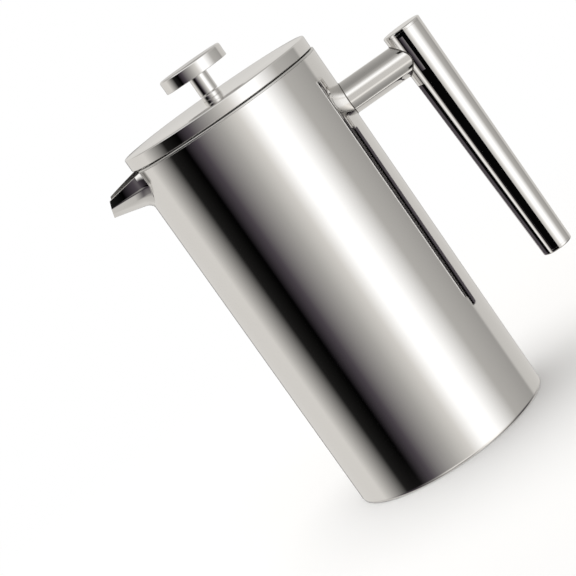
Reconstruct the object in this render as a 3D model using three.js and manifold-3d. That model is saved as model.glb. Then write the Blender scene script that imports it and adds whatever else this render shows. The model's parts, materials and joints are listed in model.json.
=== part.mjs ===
// A double-wall stainless-steel french press, in millimetres, +Z up.
// The origin is the centre of the base. The handle is at +X and the spout at -X.
// The plunger is pressed down and the lid is on.

import * as THREE from "three";
import { mergeVertices } from "three/addons/utils/BufferGeometryUtils.js";
import Module from "manifold-3d";

const wasm = await Module();
wasm.setup();

// ---- Driving dimensions ----------------------------------------------------

const GAP = 0.3; // between pieces that are welded, clamped or rest on each other
const ROD_CLEARANCE = 0.15; // radial, where the plunger rod slides or turns

// Pot
const BODY_DIAMETER = 105;
const BODY_HEIGHT = 195.5;
const SHELL_WALL = 0.7;
const JACKET_GAP = 3.2; // insulating space between the two walls
const BEAKER_WALL = 0.6;
const BEAKER_FLOOR_HEIGHT = 8; // top of the inner floor above the base
const BEAKER_FLOOR_RADIUS = 5; // rounding between inner floor and inner wall
const BASE_EDGE_RADIUS = 2;
const BASE_LIP = 3.2; // width of the shell's turned-in lip at the base
const BASE_PLATE_THICKNESS = 1;
const RIM_THICKNESS = 1;

// Spout
const SPOUT_REACH = 18.9; // tip beyond the body's side
const SPOUT_SHEET = 1.1;
const SPOUT_DEPTH = 17.4; // keel below the rim, at the body
const SPOUT_HALF_WIDTH = 20.4;
const SPOUT_TIP_HALF_WIDTH = 12;
const SPOUT_TIP_DEPTH = 8.8;
const SPOUT_LIP_LEAN = 3.4; // the tip's keel ahead of its upper corners
const SPOUT_BOW = 1.4; // 1 for straight sides, more for sides that bow outwards
const SPOUT_TIP_DROP = 4.1; // rim of the tip below the pot's rim
const SPOUT_RIM_DROP = 0.6; // rim of the spout below the pot's rim, at the body
// Points of half a section, as shares of its width and of its depth above the keel
const SPOUT_SHAPE_AT_BODY = [
  [0.62, 0.21],
  [0.92, 0.46],
  [1, 0.73],
];
const SPOUT_SHAPE_AT_TIP = [
  [0.5, 0.31],
  [0.9, 0.56],
  [1, 0.68],
];

// Handle
const ARM_DIAMETER = 17;
const ARM_WALL = 1.4;
const ARM_DROP = 30.1; // arm's axis below the pot's rim
const GRIP_TOP_DIAMETER = 20.3;
const GRIP_BOTTOM_DIAMETER = 15.8;
const GRIP_DROP = 16.5; // top of the grip below the pot's rim
const GRIP_HEIGHT = 131.2;
const GRIP_TOP_OFFSET = 39.8; // grip axis from the body's side, at the top
const GRIP_BOTTOM_OFFSET = 43.5;
const GRIP_WALL = 1.2;
const GRIP_CAP_THICKNESS = 1.6;
const GRIP_EDGE_RADIUS = 0.7;

// Lid
const LID_INSET = 0.8; // lid's edge inside the pot's side
const LID_SKIRT = 7;
const LID_SHEET = 1.2;
const LID_EDGE_RADIUS = 1.7;
const LID_RIM_GAP = 0.6; // open gap between the skirt and the pot's rim
const LINER_SHEET = 0.8;
const COLLAR_CLEARANCE = 0.6; // radial, collar to beaker
const COLLAR_DEPTH = 11.5; // collar below the pot's rim
const LINER_DISH_RADIUS = 14;
const LINER_CONE_RADIUS = 24;
const POUR_SLOTS = 7;
const POUR_SLOT_WIDTH = 2.6;
const POUR_SLOT_HEIGHT = 6;
const POUR_SLOT_SPACING = 5.4; // centre to centre round the collar
const BUSHING_WALL = 1.3;
const BUSHING_LIP = 0.55; // collar beyond the bushing's stem
const BUSHING_COLLAR_HEIGHT = 2.4;
const BUSHING_NUT_WALL = 1.75; // from bore to flat
const BUSHING_NUT_HEIGHT = 3;

// Plunger
const ROD_DIAMETER = 6;
const NECK_WALL = 1.7;
const NECK_HEIGHT = 10.5;
const KNOB_DIAMETER = 34.1;
const KNOB_THICKNESS = 6.8;
const KNOB_EDGE_RADIUS = 1;
const KNOB_BORE_DEPTH = 4.2;
const CLAMP_NUT_WALL = 1.85; // from bore to flat
const CLAMP_NUT_HEIGHT = 3;

// Filter
const FILTER_FLOOR_GAP = 6; // under the filter when the plunger is down
const FILTER_CLEARANCE = 0.4; // radial, screen to beaker
const HUB_WALL = 1.85;
const HUB_FLANGE = 3.5; // flange beyond the hub's stem
const HUB_FLANGE_HEIGHT = 1.4;
const PLATE_THICKNESS = 1;
const BOTTOM_PLATE_MARGIN = 3; // bottom plate's edge inside the screen's edge
const BACKING_SHEET = 0.4;
const SCREEN_SHEET = 0.5;
const SCREEN_RIM_HEIGHT = 3.4;
const COIL_DIAMETER = 4.2;
const TOP_PLATE_SLOTS = 8;
const TOP_PLATE_SLOT_LENGTH = 15;
const TOP_PLATE_SLOT_WIDTH = 5;
const BOTTOM_PLATE_ROWS = [
  { radius: 15, holes: 6 },
  { radius: 26, holes: 12 },
  { radius: 36, holes: 18 },
];
const BOTTOM_PLATE_HOLE = 5.4;

// Facets round a full turn
const LARGE_FACETS = 60;
const SMALL_FACETS = 28;
const HOLE_FACETS = 8;
const COIL_FACETS = 8; // round the coil spring's section
const SPOUT_STEPS = 5; // along the beak

// ---- Derived sizes ----------------------------------------------------------

const bodyRadius = BODY_DIAMETER / 2;
const beakerOuter = bodyRadius - SHELL_WALL - JACKET_GAP;
const beakerInner = beakerOuter - BEAKER_WALL;
const rimHeight = BODY_HEIGHT;

const armHeight = rimHeight - ARM_DROP;
const armRadius = ARM_DIAMETER / 2;
const gripTop = rimHeight - GRIP_DROP;
const gripBottom = gripTop - GRIP_HEIGHT;
const gripShift = GRIP_BOTTOM_OFFSET - GRIP_TOP_OFFSET;
const gripLean = Math.atan2(gripShift, GRIP_HEIGHT);
const gripLength = Math.hypot(gripShift, GRIP_HEIGHT);

const lidRadius = bodyRadius - LID_INSET;
const skirtHeight = rimHeight + LID_RIM_GAP;
const lidTop = skirtHeight + LID_SKIRT;
const lidUnderside = lidTop - LID_SHEET;
const linerSeat = rimHeight + GAP;
const linerCrown = lidUnderside - GAP - LINER_SHEET;
const collarOuter = beakerInner - COLLAR_CLEARANCE;
const collarBottom = rimHeight - COLLAR_DEPTH;
const bushingTop = lidTop + BUSHING_COLLAR_HEIGHT;

const rodRadius = ROD_DIAMETER / 2;
const rodBore = rodRadius + ROD_CLEARANCE;
const bushingRadius = rodBore + BUSHING_WALL;
const hubRadius = rodBore + HUB_WALL;
const flangeRadius = hubRadius + HUB_FLANGE;
const neckBottom = bushingTop + GAP;
const neckTop = neckBottom + NECK_HEIGHT - 2 * GAP;
const knobBottom = neckTop + GAP;
const rodTop = knobBottom + KNOB_BORE_DEPTH - GAP;

const hubBottom = BEAKER_FLOOR_HEIGHT + FILTER_FLOOR_GAP;
const bottomPlateHeight = hubBottom + HUB_FLANGE_HEIGHT + GAP;
const backingHeight = bottomPlateHeight + PLATE_THICKNESS + GAP;
const screenHeight = backingHeight + BACKING_SHEET + GAP;
const topPlateHeight = screenHeight + SCREEN_SHEET + GAP;
const clampNutHeight = topPlateHeight + PLATE_THICKNESS + GAP;
const hubTop = topPlateHeight + PLATE_THICKNESS;
const screenRadius = beakerInner - FILTER_CLEARANCE;
const coilRadius = COIL_DIAMETER / 2;
const coilRing = screenRadius - SCREEN_SHEET - GAP - coilRadius;
const topPlateRadius = coilRing - coilRadius - GAP;
const bottomPlateRadius = screenRadius - BOTTOM_PLATE_MARGIN;
const hubBore = hubRadius + GAP;

// ---- Shape helpers ----------------------------------------------------------

// Round solid about +Z. The outline is [radius, height] points, anticlockwise.
function turned(outline, facets = LARGE_FACETS) {
  const points = outline.map(([radius, height]) => new THREE.Vector2(radius, height));
  return new THREE.LatheGeometry(points, facets).rotateX(Math.PI / 2);
}

// The outline of a turned solid that doesn't reach the axis comes back to its first point.
function ring(outline, facets = LARGE_FACETS) {
  return turned([...outline, outline[0]], facets);
}

function tube(inner, outer, bottom, top, facets = LARGE_FACETS) {
  const outline = [
    [inner, bottom],
    [outer, bottom],
    [outer, top],
    [inner, top],
  ];
  return ring(outline, facets);
}

function cylinder(radius, bottom, top, facets = LARGE_FACETS) {
  return new THREE.CylinderGeometry(radius, radius, top - bottom, facets)
    .rotateX(Math.PI / 2)
    .translate(0, 0, (top + bottom) / 2);
}

// Points of a round corner about (x, y), from one angle to another in quarter turns.
function corner(x, y, radius, fromQuarter, toQuarter, steps = 3) {
  return Array.from({ length: steps + 1 }, (_, i) => {
    const angle = (fromQuarter + ((toQuarter - fromQuarter) * i) / steps) * (Math.PI / 2);
    return [x + radius * Math.cos(angle), y + radius * Math.sin(angle)];
  });
}

function solid(geometry) {
  const bare = geometry.index ? geometry.toNonIndexed() : geometry.clone();
  bare.deleteAttribute("normal");
  bare.deleteAttribute("uv");
  const merged = mergeVertices(bare, 1e-3);
  const mesh = new wasm.Mesh({
    numProp: 3,
    vertProperties: new Float32Array(merged.attributes.position.array),
    triVerts: new Uint32Array(merged.index.array),
  });
  return new wasm.Manifold(mesh);
}

function geometryOf(manifold) {
  const mesh = manifold.getMesh();
  const geometry = new THREE.BufferGeometry();
  geometry.setAttribute("position", new THREE.BufferAttribute(mesh.vertProperties, mesh.numProp));
  geometry.setIndex(new THREE.BufferAttribute(mesh.triVerts, 1));
  const faceted = geometry.toNonIndexed();
  faceted.computeVertexNormals();
  return faceted;
}

function cut(geometry, cutters) {
  const body = cutters.reduce((rest, cutter) => rest.subtract(solid(cutter)), solid(geometry));
  return geometryOf(body);
}

// A closed skin through sections, each a closed loop of as many [x, y, z] points,
// anticlockwise seen from the far side of the first section.
function loft(sections) {
  const count = sections[0].length;
  const positions = sections.flat(2);
  const index = [];
  for (let s = 0; s < sections.length - 1; s += 1) {
    for (let i = 0; i < count; i += 1) {
      const next = (i + 1) % count;
      const a = s * count + i;
      const b = s * count + next;
      const c = a + count;
      const d = b + count;
      index.push(a, c, b, b, c, d);
    }
  }
  const flat = (section) => section.map(([, y, z]) => new THREE.Vector2(y, z));
  const first = THREE.ShapeUtils.triangulateShape(flat(sections[0]), []);
  const last = THREE.ShapeUtils.triangulateShape(flat(sections.at(-1)), []);
  const lastStart = (sections.length - 1) * count;
  first.forEach(([a, b, c]) => index.push(a, b, c));
  last.forEach(([a, b, c]) => index.push(lastStart + a, lastStart + c, lastStart + b));
  const geometry = new THREE.BufferGeometry();
  geometry.setAttribute("position", new THREE.Float32BufferAttribute(positions, 3));
  geometry.setIndex(index);
  return geometry;
}

// ---- Materials --------------------------------------------------------------

function steel(color, roughness) {
  return new THREE.MeshStandardMaterial({ color, roughness, metalness: 1 });
}

const polished = () => steel(0xcdcac5, 0.12);
const satin = () => steel(0xb9b7b3, 0.32);
const wire = () => steel(0xa9a8a5, 0.42);

// ---- Pot --------------------------------------------------------------------

// Half of the spout's outline at one station, from the keel to the rim, grown by `grow`.
function spoutSide({ halfWidth, rim, depth, share }, grow) {
  const { lerp } = THREE.MathUtils;
  const width = halfWidth + grow;
  const keel = rim - depth - grow;
  const height = depth + grow;
  const sides = SPOUT_SHAPE_AT_BODY.map(([across, above], i) => {
    const [tipAcross, tipAbove] = SPOUT_SHAPE_AT_TIP[i];
    return [width * lerp(across, tipAcross, share), keel + height * lerp(above, tipAbove, share)];
  });
  return [[0, keel], ...sides, [width, rim]];
}

// Both sides of the spout's outline, from the rim at -Y through the keel to the rim at +Y.
function spoutOutline(station, grow) {
  const side = spoutSide(station, grow);
  const mirrored = side.slice(1).map(([y, z]) => [-y, z]);
  return [...mirrored.reverse(), ...side];
}

// A whole section of the spout's sheet, which leans back from the keel to the rim by `lean`.
function spoutSection({ x, station, lean }) {
  const outer = spoutOutline(station, 0);
  const inner = spoutOutline(station, -SPOUT_SHEET).reverse();
  const keel = station.rim - station.depth;
  return [...outer, ...inner].map(([y, z]) => [x + (lean * (z - keel)) / station.depth, y, z]);
}

// Just inside the beaker, where the spout's upper edges reach its wall.
const spoutInnerEnd = 2 * SPOUT_SHEET - Math.sqrt(beakerInner ** 2 - SPOUT_HALF_WIDTH ** 2);

// The spout's stations, from inside the wall to the tip.
function spoutStations() {
  const { lerp } = THREE.MathUtils;
  const at = (share) => ({
    x: -bodyRadius - SPOUT_REACH * share,
    lean: SPOUT_LIP_LEAN * share ** 2,
    station: {
      halfWidth: lerp(SPOUT_HALF_WIDTH, SPOUT_TIP_HALF_WIDTH, share ** SPOUT_BOW),
      rim: rimHeight - lerp(SPOUT_RIM_DROP, SPOUT_TIP_DROP, share),
      depth: lerp(SPOUT_DEPTH, SPOUT_TIP_DEPTH, share),
      share,
    },
  });
  const beak = Array.from({ length: SPOUT_STEPS + 1 }, (_, i) => at(i / SPOUT_STEPS));
  const inside = { ...beak[0], x: spoutInnerEnd };
  return [inside, ...beak];
}

function makeSpout() {
  const sections = spoutStations().map(spoutSection);
  const inside = cylinder(beakerInner, rimHeight - 2 * SPOUT_DEPTH, rimHeight + SPOUT_DEPTH);
  return cut(loft(sections), [inside]);
}

// The notch through both walls and the rim, which the spout lines.
function spoutNotch() {
  const outline = spoutOutline(spoutStations()[0].station, GAP);
  const above = rimHeight + SPOUT_DEPTH;
  const loop = [[outline[0][0], above], ...outline, [outline.at(-1)[0], above]];
  const slice = (x) => loop.map(([y, z]) => [x, y, z]);
  return loft([slice(spoutInnerEnd + SPOUT_SHEET), slice(-bodyRadius - SPOUT_REACH)]);
}

function makeOuterShell() {
  const inner = bodyRadius - SHELL_WALL;
  const top = rimHeight - RIM_THICKNESS - GAP;
  const edge = corner(bodyRadius - BASE_EDGE_RADIUS, BASE_EDGE_RADIUS, BASE_EDGE_RADIUS, -1, 0);
  const innerRadius = BASE_EDGE_RADIUS - SHELL_WALL;
  const innerEdge = corner(bodyRadius - BASE_EDGE_RADIUS, BASE_EDGE_RADIUS, innerRadius, 0, -1, 2);
  const lip = bodyRadius - BASE_LIP;
  const outline = [[lip, 0], ...edge, [bodyRadius, top], [inner, top], ...innerEdge, [lip, SHELL_WALL]];
  return cut(ring(outline), [spoutNotch()]);
}

function makeInnerBeaker() {
  const floor = BEAKER_FLOOR_HEIGHT;
  const under = floor - BEAKER_WALL;
  const rimUnder = rimHeight - RIM_THICKNESS;
  const round = BEAKER_FLOOR_RADIUS;
  const outerRound = round + BEAKER_WALL;
  const rimRound = RIM_THICKNESS / 2;
  const outline = [
    [0, under],
    ...corner(beakerInner - round, floor + round, outerRound, -1, 0),
    [beakerOuter, rimUnder],
    ...corner(bodyRadius - rimRound, rimHeight - rimRound, rimRound, -1, 1),
    [beakerInner, rimHeight],
    ...corner(beakerInner - round, floor + round, round, 0, -1),
    [0, floor],
  ];
  return cut(turned(outline), [spoutNotch()]);
}

function makeBasePlate() {
  return cylinder(bodyRadius - BASE_LIP - GAP, 0, BASE_PLATE_THICKNESS);
}

// ---- Handle -----------------------------------------------------------------

const gripRadiusAt = (share) =>
  THREE.MathUtils.lerp(GRIP_BOTTOM_DIAMETER, GRIP_TOP_DIAMETER, share) / 2;

// Sets a shape that stands on the grip's axis, from height 0, at its place beside the pot.
function placedOnGrip(geometry) {
  return geometry.rotateY(-gripLean).translate(bodyRadius + GRIP_BOTTOM_OFFSET, 0, gripBottom);
}

function gripCone(grow) {
  return turned(
    [
      [0, 0],
      [gripRadiusAt(0) + grow, 0],
      [gripRadiusAt(1) + grow, gripLength],
      [0, gripLength],
    ],
    SMALL_FACETS,
  );
}

function makeGripTube() {
  const bottom = GRIP_CAP_THICKNESS + GAP;
  const top = gripLength - bottom;
  const low = gripRadiusAt(bottom / gripLength);
  const high = gripRadiusAt(top / gripLength);
  const outline = [
    [low - GRIP_WALL, bottom],
    [low, bottom],
    [high, top],
    [high - GRIP_WALL, top],
  ];
  return placedOnGrip(ring(outline, SMALL_FACETS));
}

function makeGripTopCap() {
  const radius = gripRadiusAt(1);
  const round = GRIP_EDGE_RADIUS;
  const outline = [
    [0, gripLength - GRIP_CAP_THICKNESS],
    [radius, gripLength - GRIP_CAP_THICKNESS],
    ...corner(radius - round, gripLength - round, round, 0, 1, 3),
    [0, gripLength],
  ];
  return placedOnGrip(turned(outline, SMALL_FACETS));
}

function makeGripBottomCap() {
  const radius = gripRadiusAt(0);
  const round = GRIP_EDGE_RADIUS;
  const outline = [
    [0, 0],
    ...corner(radius - round, round, round, -1, 0, 3),
    [radius, GRIP_CAP_THICKNESS],
    [0, GRIP_CAP_THICKNESS],
  ];
  return placedOnGrip(turned(outline, SMALL_FACETS));
}

// A tube from the pot's side to the grip, coped onto both.
function makeHandleArm() {
  const start = Math.sqrt(bodyRadius ** 2 - armRadius ** 2) - ARM_WALL;
  const end = bodyRadius + GRIP_TOP_OFFSET;
  const bar = tube(armRadius - ARM_WALL, armRadius, start, end, SMALL_FACETS)
    .rotateY(Math.PI / 2)
    .translate(0, 0, armHeight);
  const pot = cylinder(bodyRadius + GAP, armHeight - ARM_DIAMETER, armHeight + ARM_DIAMETER);
  return cut(bar, [pot, placedOnGrip(gripCone(GAP))]);
}

// ---- Lid --------------------------------------------------------------------

function makeLidShell() {
  const inner = lidRadius - LID_SHEET;
  const hole = bushingRadius + GAP;
  const outline = [
    [inner, skirtHeight],
    [lidRadius, skirtHeight],
    ...corner(lidRadius - LID_EDGE_RADIUS, lidTop - LID_EDGE_RADIUS, LID_EDGE_RADIUS, 0, 1),
    [hole, lidTop],
    [hole, lidUnderside],
    [inner, lidUnderside],
  ];
  return ring(outline);
}

// Dished plate that sits on the rim, with the collar that guides the lid in the beaker.
function makeLidLiner() {
  const edge = lidRadius - LID_SHEET - GAP;
  const hole = bushingRadius + GAP;
  const seatTop = linerSeat + LINER_SHEET;
  const collarInner = collarOuter - LINER_SHEET;
  const outline = [
    [collarInner, collarBottom],
    [collarOuter, collarBottom],
    [collarOuter, linerSeat],
    [edge, linerSeat],
    [edge, seatTop],
    [LINER_CONE_RADIUS, seatTop],
    [LINER_DISH_RADIUS, linerCrown + LINER_SHEET],
    [hole, linerCrown + LINER_SHEET],
    [hole, linerCrown],
    [LINER_DISH_RADIUS, linerCrown],
    [LINER_CONE_RADIUS, linerSeat],
    [collarInner, linerSeat],
  ];
  const slotAngle = POUR_SLOT_SPACING / collarOuter;
  const middle = (collarBottom + linerSeat) / 2;
  const slots = Array.from({ length: POUR_SLOTS }, (_, i) => {
    const angle = Math.PI + (i - (POUR_SLOTS - 1) / 2) * slotAngle;
    return new THREE.BoxGeometry(4 * LINER_SHEET, POUR_SLOT_WIDTH, POUR_SLOT_HEIGHT)
      .translate(collarOuter, 0, middle)
      .rotateZ(angle);
  });
  return cut(ring(outline), slots);
}

function makeLidBushing() {
  const stemBottom = linerCrown - GAP - BUSHING_NUT_HEIGHT;
  const collarBase = lidTop + GAP;
  const outline = [
    [rodBore, stemBottom],
    [bushingRadius, stemBottom],
    [bushingRadius, collarBase],
    [bushingRadius + BUSHING_LIP, collarBase],
    [bushingRadius + BUSHING_LIP, bushingTop],
    [rodBore, bushingTop],
  ];
  return ring(outline, SMALL_FACETS);
}

// A hexagonal nut whose wall is measured from the bore to a flat.
function hexNut(bore, wall, bottom, height) {
  const cornerRadius = (bore + wall) / Math.cos(Math.PI / 6);
  const body = cylinder(cornerRadius, bottom, bottom + height, 6);
  return cut(body, [cylinder(bore, bottom - height, bottom + 2 * height, SMALL_FACETS)]);
}

function makeBushingNut() {
  const bottom = linerCrown - GAP - BUSHING_NUT_HEIGHT;
  return hexNut(bushingRadius + GAP, BUSHING_NUT_WALL, bottom, BUSHING_NUT_HEIGHT);
}

// ---- Plunger ----------------------------------------------------------------

function makePlungerRod() {
  return cylinder(rodRadius, hubBottom + GAP, rodTop, SMALL_FACETS);
}

function makeClampNut() {
  return hexNut(rodBore, CLAMP_NUT_WALL, clampNutHeight, CLAMP_NUT_HEIGHT);
}

function makeKnobNeck() {
  return tube(rodBore, rodBore + NECK_WALL, neckBottom, neckTop, SMALL_FACETS);
}

function makeKnob() {
  const radius = KNOB_DIAMETER / 2;
  const top = knobBottom + KNOB_THICKNESS;
  const boreTop = knobBottom + KNOB_BORE_DEPTH;
  const outline = [
    [rodBore, knobBottom],
    [radius, knobBottom],
    ...corner(radius - KNOB_EDGE_RADIUS, top - KNOB_EDGE_RADIUS, KNOB_EDGE_RADIUS, 0, 1),
    [0, top],
    [0, boreTop],
    [rodBore, boreTop],
    [rodBore, knobBottom],
  ];
  return turned(outline, LARGE_FACETS);
}

// ---- Filter -----------------------------------------------------------------

function disc(inner, outer, bottom, thickness) {
  return tube(inner, outer, bottom, bottom + thickness);
}

function makeFilterHub() {
  const outline = [
    [rodBore, hubBottom],
    [flangeRadius, hubBottom],
    [flangeRadius, hubBottom + HUB_FLANGE_HEIGHT],
    [hubRadius, hubBottom + HUB_FLANGE_HEIGHT],
    [hubRadius, hubTop],
    [rodBore, hubTop],
  ];
  return ring(outline, SMALL_FACETS);
}

function makeBottomPlate() {
  const low = bottomPlateHeight - PLATE_THICKNESS;
  const high = bottomPlateHeight + 2 * PLATE_THICKNESS;
  const holes = BOTTOM_PLATE_ROWS.flatMap(({ radius, holes: count }) =>
    Array.from({ length: count }, (_, i) =>
      cylinder(BOTTOM_PLATE_HOLE / 2, low, high, HOLE_FACETS)
        .translate(radius, 0, 0)
        .rotateZ((2 * Math.PI * i) / count),
    ),
  );
  return cut(disc(hubBore, bottomPlateRadius, bottomPlateHeight, PLATE_THICKNESS), holes);
}

function makeBackingScreen() {
  return disc(hubBore, bottomPlateRadius, backingHeight, BACKING_SHEET);
}

// Fine mesh disc whose turned-up edge wraps the coil and wipes the beaker's wall.
function makeFineScreen() {
  const inner = screenRadius - SCREEN_SHEET;
  const top = screenHeight + SCREEN_SHEET;
  const rim = screenHeight + SCREEN_RIM_HEIGHT;
  const outline = [
    [hubBore, screenHeight],
    [screenRadius, screenHeight],
    [screenRadius, rim],
    [inner, rim],
    [inner, top],
    [hubBore, top],
  ];
  return ring(outline);
}

// The coil spring round the top plate, as the solid ring that its turns fill.
function makeCoilSpring() {
  const middle = screenHeight + SCREEN_SHEET + GAP + coilRadius;
  return new THREE.TorusGeometry(coilRing, coilRadius, COIL_FACETS, LARGE_FACETS).translate(0, 0, middle);
}

function makeTopPlate() {
  const inner = flangeRadius + TOP_PLATE_SLOT_WIDTH;
  const slots = Array.from({ length: TOP_PLATE_SLOTS }, (_, i) =>
    new THREE.BoxGeometry(TOP_PLATE_SLOT_LENGTH, TOP_PLATE_SLOT_WIDTH, 3 * PLATE_THICKNESS)
      .translate(inner + TOP_PLATE_SLOT_LENGTH / 2, 0, topPlateHeight + PLATE_THICKNESS / 2)
      .rotateZ((2 * Math.PI * i) / TOP_PLATE_SLOTS),
  );
  return cut(disc(hubBore, topPlateRadius, topPlateHeight, PLATE_THICKNESS), slots);
}

// ---- Assembly ---------------------------------------------------------------

function assembly(pieces) {
  const group = new THREE.Group();
  Object.entries(pieces).forEach(([name, [geometry, material]]) => {
    const mesh = new THREE.Mesh(geometry, material);
    mesh.name = name;
    group.add(mesh);
  });
  return group;
}

const pot = assembly({
  outer_shell: [makeOuterShell(), polished()],
  inner_beaker: [makeInnerBeaker(), satin()],
  base_plate: [makeBasePlate(), satin()],
  spout: [makeSpout(), polished()],
  handle_arm: [makeHandleArm(), polished()],
  grip_tube: [makeGripTube(), polished()],
  grip_top_cap: [makeGripTopCap(), polished()],
  grip_bottom_cap: [makeGripBottomCap(), polished()],
});

const lid = assembly({
  lid_shell: [makeLidShell(), polished()],
  lid_liner: [makeLidLiner(), satin()],
  lid_bushing: [makeLidBushing(), polished()],
  bushing_nut: [makeBushingNut(), satin()],
});

const plunger = assembly({
  plunger_rod: [makePlungerRod(), polished()],
  clamp_nut: [makeClampNut(), satin()],
  knob_neck: [makeKnobNeck(), polished()],
  knob: [makeKnob(), polished()],
});

const filter = assembly({
  filter_hub: [makeFilterHub(), satin()],
  bottom_plate: [makeBottomPlate(), satin()],
  backing_screen: [makeBackingScreen(), wire()],
  fine_screen: [makeFineScreen(), wire()],
  coil_spring: [makeCoilSpring(), wire()],
  top_plate: [makeTopPlate(), satin()],
});

const frenchPress = new THREE.Group();
frenchPress.add(pot, lid, plunger, filter);

export default frenchPress;
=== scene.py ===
"""A polished double-wall french press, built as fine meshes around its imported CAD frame.

Every size in the classes below is in millimetres. Places come from the frame's boxes.
The handle is at +X and the spout at -X, and the plunger is pressed down at rest.
"""

from __future__ import annotations

import json
import logging
import math
from collections.abc import Callable, Sequence
from dataclasses import dataclass, field
from enum import Enum
from typing import Any

import bmesh
import bpy
from mathutils import Matrix, Vector

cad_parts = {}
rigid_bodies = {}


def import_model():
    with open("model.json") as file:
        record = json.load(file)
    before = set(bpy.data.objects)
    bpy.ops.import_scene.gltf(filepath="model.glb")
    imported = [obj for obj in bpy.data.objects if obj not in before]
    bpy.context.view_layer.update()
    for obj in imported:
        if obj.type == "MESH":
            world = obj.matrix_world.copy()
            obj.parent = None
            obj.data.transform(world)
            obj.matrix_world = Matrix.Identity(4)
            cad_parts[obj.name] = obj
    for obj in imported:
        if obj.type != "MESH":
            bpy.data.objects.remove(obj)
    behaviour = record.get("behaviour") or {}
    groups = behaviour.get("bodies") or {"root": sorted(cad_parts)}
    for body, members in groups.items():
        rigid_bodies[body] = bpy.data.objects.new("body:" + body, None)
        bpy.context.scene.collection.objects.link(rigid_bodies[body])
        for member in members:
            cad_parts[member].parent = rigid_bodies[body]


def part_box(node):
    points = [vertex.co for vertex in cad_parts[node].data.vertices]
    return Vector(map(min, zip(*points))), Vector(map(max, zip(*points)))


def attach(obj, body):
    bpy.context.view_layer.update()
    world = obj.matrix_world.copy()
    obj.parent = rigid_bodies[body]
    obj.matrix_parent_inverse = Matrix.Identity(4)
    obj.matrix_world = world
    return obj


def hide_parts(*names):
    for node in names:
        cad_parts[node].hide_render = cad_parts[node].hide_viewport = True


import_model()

LOG = logging.getLogger("french_press")
MM = 0.001
PREFIX = "fine_"
SHARP_ANGLE = math.radians(32)
# Radii of small rounded edges, from the keenest to the softest.
KEEN, CRISP, FINE, BROKEN, EASED, SOFT, PRESSED = 0.06, 0.1, 0.15, 0.2, 0.25, 0.3, 0.35
SCREEN_GAP = 0.4
CUT_PAST = 1.0
# The share of a side that an arc may take, and where the points beside it stand.
MOST_REACH, SUPPORT_REACH, SUPPORT_SHARE, SUPPORT_LEAST = 0.49, 0.35, 0.02, 0.01
# A slot's end radius and a nut's flat face, as shares of half the width; the nut's chamfer.
SLOT_END, NUT_FACE, NUT_SLOPE = 0.98, 0.98, math.radians(30)
WHITE = (1.0, 1.0, 1.0, 1.0)

Point = tuple[float, float]
Corner = tuple[float, float, float]
Rgb = tuple[float, float, float]


# ---- Node graphs ------------------------------------------------------------


class Wire:
    """A node's output that can be used in sums, like a number."""

    def __init__(self, graph: Graph, socket: bpy.types.NodeSocket | None) -> None:
        """Keeps the graph that the output belongs to, and the output."""
        self.graph = graph
        self.socket = socket

    def __add__(self, other: Any) -> Wire:
        """This plus another value."""
        return self.graph.math("ADD", self, other)

    def __radd__(self, other: Any) -> Wire:
        """Another value plus this."""
        return self.graph.math("ADD", other, self)

    def __sub__(self, other: Any) -> Wire:
        """This minus another value."""
        return self.graph.math("SUBTRACT", self, other)

    def __mul__(self, other: Any) -> Wire:
        """This times another value."""
        return self.graph.math("MULTIPLY", self, other)

    def __truediv__(self, other: Any) -> Wire:
        """This over another value."""
        return self.graph.math("DIVIDE", self, other)


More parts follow.
